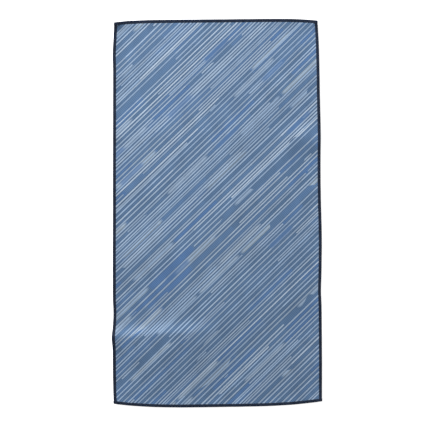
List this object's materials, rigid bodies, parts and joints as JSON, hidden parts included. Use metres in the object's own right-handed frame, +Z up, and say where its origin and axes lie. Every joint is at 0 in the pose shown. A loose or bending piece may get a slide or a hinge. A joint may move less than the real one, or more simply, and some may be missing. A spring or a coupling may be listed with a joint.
{
  "type": "quick dry towel",
  "caption": "Thin rectangular microfibre travel towel with diagonal printed stripes, edged all round with narrow folded and stitched binding tape.",
  "frame": {"origin": "middle of the towel's box, on the surface that it lies on", "axes": "+X across the towel, +Y along its length, +Z up out of the printed face"},
  "size_m": [0.7548, 1.4012, 0.0021],
  "materials": {
    "printed_cloth": "microfibre suede, printed blue with pale diagonal stripes, matt with a soft nap",
    "binding_tape": "woven navy polyester tape, matt",
    "sewing_thread": "spun polyester thread, navy, slightly glossy",
    "label_satin": "white woven satin, blank"
  },
  "bodies": {
    "root": {"cloth_panel": "printed_cloth", "binding_tape_left": "binding_tape", "binding_tape_right": "binding_tape", "binding_tape_top": "binding_tape", "binding_tape_bottom": "binding_tape", "needle_thread_left": "sewing_thread", "needle_thread_right": "sewing_thread", "needle_thread_top": "sewing_thread", "needle_thread_bottom": "sewing_thread", "bobbin_thread_left": "sewing_thread", "bobbin_thread_right": "sewing_thread", "bobbin_thread_top": "sewing_thread", "bobbin_thread_bottom": "sewing_thread", "care_label": "label_satin"}
  },
  "joints": []
}
